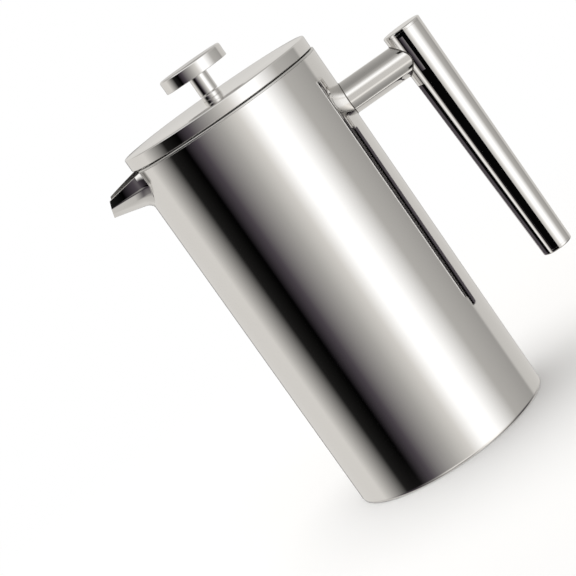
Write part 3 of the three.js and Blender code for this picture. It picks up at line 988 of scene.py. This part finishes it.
@dataclass
class Handle:
    """The arm on the pot's side and the tapered grip with its two flat ends."""

    arm_wall: float = 1.4
    grip_wall: float = 1.2
    top_radius: float = 10.15
    bottom_radius: float = 7.9
    cap: float = 1.6
    cap_gap: float = 0.02
    cap_inset: float = 0.01
    edge_round: float = 0.7
    sink: float = 0.12
    weld_radius: float = 0.32
    weld_rise: float = 0.05
    weld_steps: int = 160
    arm_shares: Point = (0.33, 0.66)

    def __post_init__(self) -> None:
        """Takes the places from the frame, and the grip's lean from its two ends."""
        arm = Box.of("handle_arm")
        self.arm_radius = arm.radius
        self.arm_height = arm.middle.z
        self.pot_radius = Box.of("outer_shell").radius
        top, bottom = Box.of("grip_top_cap"), Box.of("grip_bottom_cap")
        along = top.middle - bottom.middle
        self.lean = math.atan2(-along.x, along.z)
        self.length = along.length + self.cap
        self.foot = bottom.middle - along.normalized() * self.cap / 2
        self.place = Matrix.Translation(self.foot) @ Matrix.Rotation(-self.lean, 4, "Y")

    def grip_radius(self, height: float) -> float:
        """The grip's radius at a height along it."""
        return lerp(self.bottom_radius, self.top_radius, height / self.length)

    def arm_end(self, y: float, z: float) -> float:
        """Where the arm's skin at (y, z) meets the grip."""
        height = (z - self.foot.z) / math.cos(self.lean)
        axis = self.foot.x - math.tan(self.lean) * (z - self.foot.z)
        radius = self.grip_radius(height)
        return axis - math.sqrt(max(radius**2 - y * y, 0.0)) / math.cos(self.lean)

    def arm_ends(self, angle: float, radius: float) -> tuple[Vector, Vector]:
        """The points on the pot and on the grip of the arm's skin at one angle."""
        y = radius * math.sin(angle)
        z = self.arm_height - radius * math.cos(angle)
        pot = math.sqrt(self.pot_radius**2 - y * y)
        return Vector((pot, y, z)), Vector((self.arm_end(y, z), y, z))

    def build_arm(self) -> None:
        """Makes the arm, shaped to the pot and to the grip, and its two weld beads, tinted near black to
        paint the shade line in each seam.
        """
        inside, outside = self.arm_radius - self.arm_wall, self.arm_radius

        def outline(angle: float) -> list[Point]:
            """The arm's wall at one angle, from its pot end to its grip end."""
            near_in, far_in = (end.x for end in self.arm_ends(angle, inside))
            near_out, far_out = (end.x for end in self.arm_ends(angle, outside))
            middle = [(outside, lerp(near_out, far_out, share)) for share in self.arm_shares]
            near = [(inside, near_in - self.sink), (outside, near_out - self.sink)]
            return [*near, *middle, (outside, far_out + self.sink), (inside, far_in + self.sink)]

        place = Matrix.Translation((0, 0, self.arm_height)) @ Matrix.Rotation(math.pi / 2, 4, "Y")
        dress(revolve("handle_arm", outline, 128, place), "pot", FINISH.outward)
        turns = [2 * math.pi * k / self.weld_steps for k in range(self.weld_steps)]
        # Each bead is a real weld shape; its near-black finish is painted shade for the dark seam line.
        for end, name in enumerate(("arm_weld_at_pot", "arm_weld_at_grip")):
            path = [self.arm_ends(angle, outside + self.weld_rise)[end] for angle in turns]
            dress(bead(name, path, self.weld_radius), "pot", FINISH.weld, replaces=False)

    def build_grip(self) -> None:
        """Makes the tapered tube and its two ends."""
        low, high, top = self.cap, self.length - self.cap, self.length
        slim, wide = self.grip_radius(low), self.grip_radius(high)
        foot, head = self.grip_radius(0), self.grip_radius(top)
        tube = [
            (slim - self.grip_wall, low, CRISP), (slim, low, KEEN),
            (wide, high, KEEN), (wide - self.grip_wall, high, CRISP),
        ]
        turned("grip_tube", tube, "pot", FINISH.bar, 160, self.place, 3)
        under = high + self.cap_gap
        rim = (head - self.cap_inset, under, KEEN)
        cap = [(0, under, 0), rim, (head, top, self.edge_round), (0, top, 0)]
        turned("grip_top_cap", cap, "pot", FINISH.mirror, 160, self.place)
        over = low - self.cap_gap
        cap = [(0, 0, 0), (foot, 0, self.edge_round), (foot - self.cap_inset, over, KEEN), (0, over, 0)]
        turned("grip_bottom_cap", cap, "pot", FINISH.mirror, 160, self.place)

    def build(self) -> None:
        """Makes arm and grip."""
        self.build_arm()
        self.build_grip()


# ---- The lid ----------------------------------------------------------------


@dataclass
class Lid:
    """The flat lid, its slotted liner, and the bushing that the rod runs in."""

    sheet: float = 1.2
    edge_round: float = 1.4
    edge_drop: float = 0.12
    inner_round: float = 0.6
    crown_start: float = 42.0
    crown_drop: float = 0.5
    crown_steps: int = 10
    stem_wall: float = 1.3
    stem_fit: float = 0.05
    liner_sheet: float = 0.8
    liner_fit: float = 0.1
    liner_bend: float = 0.9
    seat_gap: float = 0.3
    collar_gap: float = 0.6
    dish_radius: float = 14.0
    cone_radius: float = 24.0
    dish_round: Point = (3, 2.4)
    slots: int = 7
    slot_size: Point = (2.6, 6.0)
    slot_spacing: float = 5.4
    rod_bore: float = 3.15
    bushing_gap: float = 0.02

    def __post_init__(self) -> None:
        """Takes the lid's boxes from the frame."""
        self.shell = Box.of("lid_shell")
        self.liner = Box.of("lid_liner")
        self.bushing = Box.of("lid_bushing")
        self.nut = Box.of("bushing_nut")
        self.stem = self.rod_bore + self.stem_wall

    def build_shell(self) -> None:
        """Makes the lid with its rounded edge and short skirt."""
        radius, low, top = self.shell.radius, self.shell.low.z, self.shell.high.z
        hole, inside = self.stem + self.stem_fit, radius - self.sheet
        width = radius - self.edge_round - self.crown_start
        shares = [k / self.crown_steps for k in range(self.crown_steps, -1, -1)]
        corners = [
            (inside, low, SOFT), (radius, low, SOFT),
            (radius, top - self.crown_drop - self.edge_drop, self.edge_round),
            *[(self.crown_start + width * s, top - self.crown_drop * s * s, 0.0) for s in shares],
            (hole, top, CRISP), (hole, top - self.sheet, CRISP),
            (inside, top - self.sheet - self.crown_drop, self.inner_round),
        ]
        turned("lid_shell", corners, "lid", FINISH.mirror, 256)

    def build_liner(self, punch: Punch) -> None:
        """Makes the dished liner and punches the pour slots in its collar."""
        seat = Box.of("inner_beaker").high.z + self.seat_gap
        edge, low, crown = self.liner.radius, self.liner.low.z, self.liner.high.z
        collar = inner_radius() - self.collar_gap
        sheet, hole = self.liner_sheet, self.stem + self.liner_fit
        upper, lower = self.dish_round
        corners = [
            (collar - sheet, low, BROKEN), (collar, low, PRESSED), (collar, seat, SOFT),
            (edge, seat, BROKEN), (edge, seat + sheet, BROKEN),
            (self.cone_radius, seat + sheet, upper), (self.dish_radius, crown, upper),
            (hole, crown, CRISP), (hole, crown - sheet, CRISP),
            (self.dish_radius, crown - sheet, lower), (self.cone_radius, seat, lower),
            (collar - sheet, seat, self.liner_bend),
        ]
        piece = revolve("lid_liner", rounded(corners), 256)
        middle = (low + seat) / 2
        half_w, half_h = (size / 2 for size in self.slot_size)
        slot = slot_outline((-half_w, -half_h), (half_w, half_h))
        xs = (collar - 3 * sheet, collar + 2 * sheet)
        cutter = skin("slot_cutter", [[Vector((x, y, middle + z)) for y, z in slot] for x in xs])
        step = self.slot_spacing / collar
        punch.cut(piece, cutter, FINISH.satin, self.slots, step, math.pi - step * (self.slots - 1) / 2)
        dress(piece, "lid", FINISH.satin)

    def build_bushing(self) -> None:
        """Makes the bushing with its collar on top of the lid, and its nut below."""
        top, low, collar = self.bushing.high.z, self.bushing.low.z, self.bushing.radius
        base = self.shell.high.z + self.bushing_gap
        corners = [
            (self.rod_bore, low, BROKEN), (self.stem, low, SOFT), (self.stem, base, self.stem_fit),
            (collar, base, self.edge_drop), (collar, top, PRESSED), (self.rod_bore, top, SOFT),
        ]
        turned("lid_bushing", corners, "lid", FINISH.mirror, 96)
        dress(hex_nut("bushing_nut", self.nut, self.stem + self.stem_fit), "lid", FINISH.plate)

    def build(self, punch: Punch) -> None:
        """Makes the whole lid."""
        self.build_shell()
        self.build_liner(punch)
        self.build_bushing()


def hex_nut(name: str, box: Box, bore: float) -> bpy.types.Object:
    """A hexagonal nut with chamfered corners and a chamfered bore.

    Args:
        name: the piece's name.
        box: the CAD nut's box, whose narrow side is its width across flats.
        bore: radius of its hole.

    Returns:
        The nut.
    """
    flat = min(box.high.x - box.low.x, box.high.y - box.low.y) / 2
    corner_on_x = (box.high.x - box.low.x) < (box.high.y - box.low.y)
    low, high = box.low.z, box.high.z

    def outline(angle: float) -> list[Point]:
        """The nut's section at one angle, with its corners cut by a 30 degree cone."""
        turned = angle + (0 if corner_on_x else math.pi / 6)
        sixth = math.pi / 3
        off = (turned + sixth / 2) % sixth - sixth / 2
        reach = flat / math.cos(off)
        drop = max(0.0, reach - flat * NUT_FACE) * math.tan(NUT_SLOPE)
        return [
            (bore + PRESSED, low),
            (flat * NUT_FACE, low),
            (reach, low + drop),
            (reach, high - drop),
            (flat * NUT_FACE, high),
            (bore + PRESSED, high),
            (bore, high - PRESSED),
            (bore, low + PRESSED),
        ]

    return revolve(name, outline, 72)


# ---- The plunger ------------------------------------------------------------


@dataclass
class Plunger:
    """The rod with its clamp nut, and the knob on its neck."""

    knob_round: float = 1.0
    knob_socket: float = 4.2
    thread_length: float = 9.0
    thread_pitch: float = 1.0
    thread_depth: float = 0.32
    thread_start: float = 0.3
    thread_steps: int = 8
    thread_fade: float = 0.7
    thread_end: float = 0.5
    rod_point: float = 0.8
    rod_chamfer: Point = (0.3, 0.4)
    rod_fit: float = 0.1

    def __post_init__(self) -> None:
        """Takes the plunger's boxes from the frame."""
        self.rod = Box.of("plunger_rod")
        self.nut = Box.of("clamp_nut")
        self.neck = Box.of("knob_neck")
        self.knob = Box.of("knob")
        self.bore = self.rod.radius + self.rod_fit

    def build_rod(self) -> None:
        """Makes the rod, with a rolled thread at its lower end."""
        radius, low, high = self.rod.radius, self.rod.low.z, self.rod.high.z
        root = radius - self.thread_depth
        top = low + self.thread_length
        turns = int((top - low) / self.thread_pitch)
        across, down = self.rod_chamfer

        def outline(angle: float) -> list[Point]:
            """The rod's side at one angle: a wave that climbs with the angle, then the plain rod."""
            phase = angle / (2 * math.pi)
            points = [(0.0, low), (root * self.rod_point, low)]
            for k in range(turns * self.thread_steps):
                share = k / self.thread_steps
                wave = 0.5 - 0.5 * math.cos(2 * math.pi * (share - phase))
                fade = min(1.0, share, (turns - share) * self.thread_fade)
                height = low + (share + self.thread_start) * self.thread_pitch
                points.append((root + self.thread_depth * wave * fade, height))
            end = [(radius, high - down), (radius - across, high), (0.0, high)]
            return [*points, (radius, top + self.thread_end), *end]

        dress(revolve("plunger_rod", outline, 64), "plunger", FINISH.upright)
        dress(hex_nut("clamp_nut", self.nut, self.bore), "plunger", FINISH.plate)

    def build_knob(self) -> None:
        """Makes the neck and the thick round knob."""
        bore = self.bore
        radius, low, high = self.neck.radius, self.neck.low.z, self.neck.high.z
        neck = [(bore, low, BROKEN), (radius, low, SOFT), (radius, high, CRISP), (bore, high, CRISP)]
        turned("knob_neck", neck, "knob", FINISH.bright, 96)
        radius, low, high = self.knob.radius, self.knob.low.z, self.knob.high.z
        bore_top = low + self.knob_socket
        knob = [
            (bore, low, CRISP), (radius, low, EASED), (radius, high, self.knob_round),
            (0, high, 0), (0, bore_top, 0), (bore, bore_top, CRISP),
        ]
        turned("knob", knob, "knob", FINISH.bright)

    def build(self) -> None:
        """Makes the whole plunger."""
        self.build_rod()
        self.build_knob()


# ---- The filter -------------------------------------------------------------


@dataclass
class Filter:
    """The stack on the rod's end: hub, perforated plate, two wire cloths, coil and top plate."""

    fine_pitch: float = 1.45
    fine_wire: float = 0.42
    coarse_pitch: float = 2.6
    coarse_wire: float = 0.36
    hem_sheet: float = 0.5
    hem_width: float = 2.5
    hem_bend: Point = (0.9, 0.5)
    hem_edge: float = 0.22
    coil_turns: int = 150
    coil_steps: int = 14
    coil_wire: float = 0.55
    bore: float = 3.1
    stem_wall: float = 1.9
    flange: float = 1.4
    flange_round: float = 0.4
    hole: float = 5.15
    hole_radius: float = 2.7
    rows: tuple[tuple[float, int], ...] = ((15.0, 6), (26.0, 12), (36.0, 18))
    slots: int = 8
    slot_size: Point = (15.0, 5.0)

    def __post_init__(self) -> None:
        """Takes the stack's boxes from the frame."""
        self.hub = Box.of("filter_hub")
        self.bottom = Box.of("bottom_plate")
        self.backing = Box.of("backing_screen")
        self.fine = Box.of("fine_screen")
        self.coil = Box.of("coil_spring")
        self.top = Box.of("top_plate")

    def build_hub(self) -> None:
        """Makes the threaded hub and its flange."""
        bore, stem = self.bore, self.bore + self.stem_wall
        low, high, radius = self.hub.low.z, self.hub.high.z, self.hub.radius
        flange = low + self.flange
        corners = [
            (bore, low, SOFT), (radius, low, self.flange_round), (radius, flange, EASED),
            (stem, flange, BROKEN), (stem, high, SOFT), (bore, high, EASED),
        ]
        turned("filter_hub", corners, "filter", FINISH.plate, 96)

    def plate(self, name: str, box: Box) -> bpy.types.Object:
        """A flat plate with a hole at its middle."""
        low, high, hole, radius = box.low.z, box.high.z, self.hole, box.radius
        corners = [(hole, low, FINE), (radius, low, SOFT), (radius, high, SOFT), (hole, high, FINE)]
        return revolve(name, rounded(corners, 4), 160)

    def build_plates(self, punch: Punch) -> None:
        """Makes the bottom plate with its rows of holes and the top plate with its ring of slots."""
        piece = self.plate("bottom_plate", self.bottom)
        low, high = self.bottom.low.z - CUT_PAST, self.bottom.high.z + CUT_PAST
        outline = [(0, low), (self.hole_radius, low), (self.hole_radius, high), (0, high)]
        for radius, count in self.rows:
            cutter = revolve("hole_cutter", outline, 32, Matrix.Translation((radius, 0, 0)))
            punch.cut(piece, cutter, FINISH.plate, count)
        dress(piece, "filter", FINISH.plate)
        piece = self.plate("top_plate", self.top)
        length, width = self.slot_size
        start, half = self.hub.radius + width, width / 2
        slot = slot_outline((start, -half), (start + length, half), 8)
        heights = (self.top.low.z - CUT_PAST, self.top.high.z + CUT_PAST)
        cutter = skin("slot_cutter", [[Vector((x, y, z)) for x, y in slot] for z in heights])
        punch.cut(piece, cutter, FINISH.plate, self.slots)
        dress(piece, "filter", FINISH.plate)

    def build_cloths(self) -> None:
        """Weaves the two wire cloths and binds the fine one's turned-up edge."""
        weave = Weave()
        wires = (
            ("backing_screen", self.backing, self.backing.radius, self.coarse_pitch, self.coarse_wire),
            ("fine_screen", self.fine, self.fine.radius - self.fine_wire, self.fine_pitch, self.fine_wire),
        )
        for name, box, radius, pitch, wire in wires:
            piece = weave.apply(
                blank(name), Radius=radius * MM, Hole=self.hole * MM, Pitch=pitch * MM, Wire=wire * MM,
                Height=(box.low.z + wire) * MM, Material=finish(FINISH.wire),
            )
            dress(piece, "filter", FINISH.wire)
        low, high, outer = self.fine.low.z, self.fine.high.z, self.fine.radius
        inner, floor, (outer_bend, inner_bend) = outer - self.hem_sheet, low + self.hem_sheet, self.hem_bend
        corners = [
            (inner - self.hem_width, low, CRISP), (outer, low, outer_bend),
            (outer, high, self.hem_edge), (inner, high, self.hem_edge),
            (inner, floor, inner_bend), (inner - self.hem_width, floor, CRISP),
        ]
        dress(revolve("screen_hem", rounded(corners), 256), "filter", FINISH.wire, replaces=False)

    def build_coil(self) -> None:
        """Winds the coil spring that presses the cloth on the wall."""
        coil = (self.coil.high.z - self.coil.low.z - self.coil_wire) / 2
        ring = self.coil.radius - coil - self.coil_wire / 2
        piece = Coil().apply(
            blank("coil_spring"), Ring=ring * MM, Coil=coil * MM, Turns=self.coil_turns,
            Steps=self.coil_steps, Wire=self.coil_wire * MM, Height=self.coil.middle.z * MM,
            Material=finish(FINISH.wire),
        )
        dress(piece, "filter", FINISH.wire)

    def build(self, punch: Punch) -> None:
        """Makes the whole stack."""
        self.build_hub()
        self.build_plates(punch)
        self.build_cloths()
        self.build_coil()


# ---- Studio -----------------------------------------------------------------


class Cast(Enum):
    """The faint colour casts that the studio's cards may have."""

    NEUTRAL = (1.0, 1.0, 1.0)
    WARM = (1.0, 0.975, 0.935)
    VIOLET = (1.0, 0.85, 1.02)


@dataclass(frozen=True)
class Card:
    """A white card's angle and brightness; the light fades evenly from card to card."""

    angle: float
    percent: float
    cast: Cast = Cast.WARM

    def light(self) -> Rgb:
        """The card's linear light."""
        return tuple(self.percent / 100 * share for share in self.cast.value)


@dataclass(frozen=True)
class Flag:
    """A dark curved card near the grip: its turn from the front, its ends, its reach and its tone."""

    turn: Point
    rise: Point
    reach: float
    tone: Rgb = (0.002, 0.002, 0.002)


@dataclass
class Studio:
    """The camera, the surroundings that the steel mirrors, the lights and the floor."""

    eye: Corner = (-1.6, -943.6, 254.3)
    yaw: float = -1.302
    pitch: float = -8.87
    roll: float = 35.192
    lens: float = 123.66
    nearest: float = 0.01
    sky_strength: float = 1.32
    bands: tuple[Card, ...] = (
        Card(-180, 55), Card(-110, 60), Card(-75, 1), Card(-55, 0), Card(-40, 6, Cast.VIOLET),
        Card(-10, 35), Card(10, 60), Card(25, 100, Cast.NEUTRAL), Card(45, 100, Cast.NEUTRAL),
        Card(75, 40), Card(115, 30), Card(120, 50), Card(180, 55),
    )
    heights: tuple[Card, ...] = (
        Card(-90, 15), Card(-50, 30), Card(-35, 40), Card(-25, 80), Card(-15, 65), Card(10, 65),
        Card(30, 100, Cast.NEUTRAL), Card(50, 40), Card(70, 25), Card(90, 25),
    )
    rear_heights: tuple[Card, ...] = (Card(-90, 30), Card(10, 65), Card(30, 40), Card(90, 25))
    low_bands: tuple[Card, ...] = (
        Card(-180, 55), Card(-110, 45), Card(-85, 5, Cast.VIOLET), Card(-65, 4, Cast.VIOLET),
        Card(-40, 25), Card(-20, 55), Card(0, 80), Card(45, 95), Card(75, 20),
        Card(90, 5, Cast.VIOLET), Card(105, 3, Cast.VIOLET), Card(140, 40), Card(180, 55),
    )
    back_mask: tuple[Card, ...] = (
        Card(-180, 50, Cast.NEUTRAL), Card(-175, 100, Cast.NEUTRAL), Card(-160, 0), Card(160, 0),
        Card(180, 50, Cast.NEUTRAL),
    )
    back_tone: Rgb = (0.03, 0.025, 0.03)
    back_edge: Point = (-1.0, 4.0)
    low_mask: tuple[Card, ...] = (
        Card(-35, 100, Cast.NEUTRAL), Card(-15, 0), Card(15, 0), Card(35, 100, Cast.NEUTRAL),
    )
    high_mask: tuple[Card, ...] = (
        Card(-95, 100, Cast.NEUTRAL), Card(-75, 0), Card(50, 0), Card(85, 100, Cast.NEUTRAL),
    )
    low_edge: Point = (-22.0, -15.0)
    level_edge: Point = (-8.0, 8.0)
    high_edge: Point = (11.0, 22.0)
    lamp_size: float = 1.1
    lamp_energy: float = 16.0
    lamp_place: Corner = (-0.25, 0.2, 1.5)
    floor_radius: float = 3000.0
    floor_depth: float = 6.0
    floor_fade: Point = (0.12, 0.55)
    floor_tone: Rgb = (0.9, 0.9, 0.9)
    floor_roughness: float = 0.75
    floor_grain: float = 60.0
    floor_spread: float = 0.1
    flags: tuple[Flag, ...] = (
        Flag((-37.0, -4.0), (44.0, 156.0), 16.0),
        Flag((-20.0, -4.0), (156.0, 175.0), 16.0),
        Flag((-37.0, -4.0), (175.0, 183.0), 16.0),
        Flag((-82.0, -62.0), (44.0, 150.0), 60.0),
        Flag((-120.0, -82.0), (44.0, 150.0), 60.0, (0.085, 0.075, 0.085)),
    )
    flag_radius: float = 14.0
    flag_steps: int = 24

    @staticmethod
    def ramp(graph: Graph, place: Wire, cards: Sequence[Card], span: float = 360) -> Wire:
        """A colour ramp over a place of 0 to 1, from cards at angles in a span centred on zero."""
        return graph.ramp(place, [(card.angle / span + 0.5, card.light()) for card in cards])

    @staticmethod
    def step(graph: Graph, rise: Wire, edge: Point, ends: Point = (0.0, 1.0)) -> Wire:
        """A soft step between two elevations, in degrees."""
        low, high = (degrees / 180 + 0.5 for degrees in edge)
        return graph.soft_step(rise, low, high, *ends)

    def build_camera(self) -> None:
        """Sets the camera in front of the pot, looking a little down, and rolls it."""
        data = bpy.data.cameras.new("camera")
        data.lens = self.lens
        data.clip_start = self.nearest
        camera = linked("camera", data)
        yaw, pitch, roll = (math.radians(a) for a in (self.yaw, self.pitch, self.roll))
        ahead = Vector((math.sin(yaw) * math.cos(pitch), math.cos(yaw) * math.cos(pitch), math.sin(pitch)))
        right = ahead.cross(Vector((0, 0, 1))).normalized()
        up = right.cross(ahead)
        tilted_right = right * math.cos(roll) - up * math.sin(roll)
        tilted_up = up * math.cos(roll) + right * math.sin(roll)
        turn = Matrix((tilted_right, tilted_up, -ahead)).transposed().to_4x4()
        camera.matrix_world = Matrix.Translation(Vector(self.eye) * MM) @ turn
        bpy.context.scene.camera = camera

    def build_sky(self) -> None:
        """Sets soft upright bands of light and dark round the press, and white for the eye."""
        world = bpy.data.worlds.new("studio")
        world.use_nodes = True
        bpy.context.scene.world = world
        graph = Graph(world.node_tree)
        x, y, z = graph.split(graph.place("Generated"))
        turn = graph.math("ARCTAN2", x, y * -1.0) / (2 * math.pi) + 0.5
        rise = graph.math("ARCSINE", z) / math.pi + 0.5
        around = self.ramp(graph, turn, self.bands)
        behind = self.ramp(graph, turn, self.back_mask) * self.step(graph, rise, self.back_edge, (1.0, 0.0))
        around = graph.mix(behind, around, (*self.back_tone, 1.0))
        front = self.ramp(graph, rise, self.heights, 180)
        rear = self.ramp(graph, rise, self.rear_heights, 180)
        low = self.ramp(graph, turn, self.low_bands)
        low = graph.mix(self.ramp(graph, turn, self.low_mask), front, low)
        high = graph.mix(self.ramp(graph, turn, self.high_mask), front, rear)
        other = graph.mix(self.step(graph, rise, self.level_edge), low, high)
        below = self.step(graph, rise, self.low_edge, (1.0, 0.0))
        above = self.step(graph, rise, self.high_edge)
        dome = graph.mix(below + above, around, other)
        lit = graph.node("ShaderNodeBackground", {"Color": dome, "Strength": self.sky_strength})
        plain = graph.node("ShaderNodeBackground", {"Color": WHITE, "Strength": 1.0})
        seen = graph.node("ShaderNodeLightPath", output="Is Camera Ray")
        graph.node("ShaderNodeOutputWorld", {"Surface": graph.blend(seen, lit, plain)})

    def build_light(self) -> None:
        """Hangs one soft overhead light for the floor, which the steel doesn't mirror."""
        data = bpy.data.lights.new("overhead", "AREA")
        data.shape = "DISK"
        data.size = self.lamp_size
        data.energy = self.lamp_energy
        light = linked("overhead", data)
        light.location = self.lamp_place
        light.rotation_euler = (Vector((0, 0, 0)) - light.location).to_track_quat("-Z", "Y").to_euler()
        light.visible_glossy = False
        light.visible_camera = False

    def build_floor(self) -> None:
        """Lays a pale round floor that fades to white, unseen by the steel."""
        radius, under = self.floor_radius, -self.floor_depth
        piece = revolve("floor", [(0, under), (radius, under), (radius, 0), (0, 0)], 96)
        material, graph = new_material("pale_floor")
        x, y, _ = graph.split(graph.place("Object"))
        grain = graph.noise(Scale=self.floor_grain, Detail=4.0)
        far = graph.soft_step(graph.length(x, y), *self.floor_fade)
        rough = self.floor_roughness + grain * self.floor_spread
        inputs = {"Base Color": (*self.floor_tone, 1.0), "Roughness": rough}
        matte = graph.node("ShaderNodeBsdfPrincipled", inputs)
        white = graph.node("ShaderNodeEmission", {"Color": WHITE, "Strength": 1.0})
        graph.node("ShaderNodeOutputMaterial", {"Surface": graph.blend(far, matte, white)})
        piece.data.materials.append(material)
        piece.visible_glossy = False

    def build_flag(self, name: str, flag: Flag) -> None:
        """Hangs a thin dark flag round the grip, for the steel within its reach to mirror.

        Args:
            name: the flag's name.
            flag: its place and tone.
        """
        handle = Handle()
        points = []
        for height in flag.rise:
            middle = handle.foot.x - math.tan(handle.lean) * (height - handle.foot.z)
            for k in range(self.flag_steps + 1):
                angle = math.radians(lerp(*flag.turn, k / self.flag_steps))
                x = middle + self.flag_radius * math.sin(angle)
                points.append((x * MM, -self.flag_radius * math.cos(angle) * MM, height * MM))
        row = self.flag_steps + 1
        faces = [(k, k + 1, row + k + 1, row + k) for k in range(self.flag_steps)]
        mesh = bpy.data.meshes.new(name)
        mesh.from_pydata(points, [], faces)
        piece = linked(name, mesh)
        material, graph = new_material(name)
        length = graph.node("ShaderNodeLightPath", output="Ray Length")
        near = graph.math("LESS_THAN", length, flag.reach * MM)
        clear = graph.node("ShaderNodeBsdfTransparent")
        dark = graph.node("ShaderNodeEmission", {"Color": (*flag.tone, 1.0)})
        graph.node("ShaderNodeOutputMaterial", {"Surface": graph.blend(near, clear, dark)})
        mesh.materials.append(material)
        for ray in ("camera", "diffuse", "transmission", "shadow", "volume_scatter"):
            setattr(piece, f"visible_{ray}", False)

    def build(self) -> None:
        """Makes the whole studio."""
        bpy.context.scene.view_settings.view_transform = "Standard"
        self.build_camera()
        self.build_sky()
        self.build_light()
        self.build_floor()
        for number, flag in enumerate(self.flags):
            self.build_flag(f"flag_{number}", flag)


def main() -> None:
    """Builds the studio and the press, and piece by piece."""
    logging.basicConfig(level=logging.INFO, format="%(name)s: %(message)s")
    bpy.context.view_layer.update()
    Studio().build()
    punch = Punch()
    Pot().build()
    Handle().build()
    Lid().build(punch)
    Plunger().build()
    Filter().build(punch)


if __name__ == "__main__":
    main()
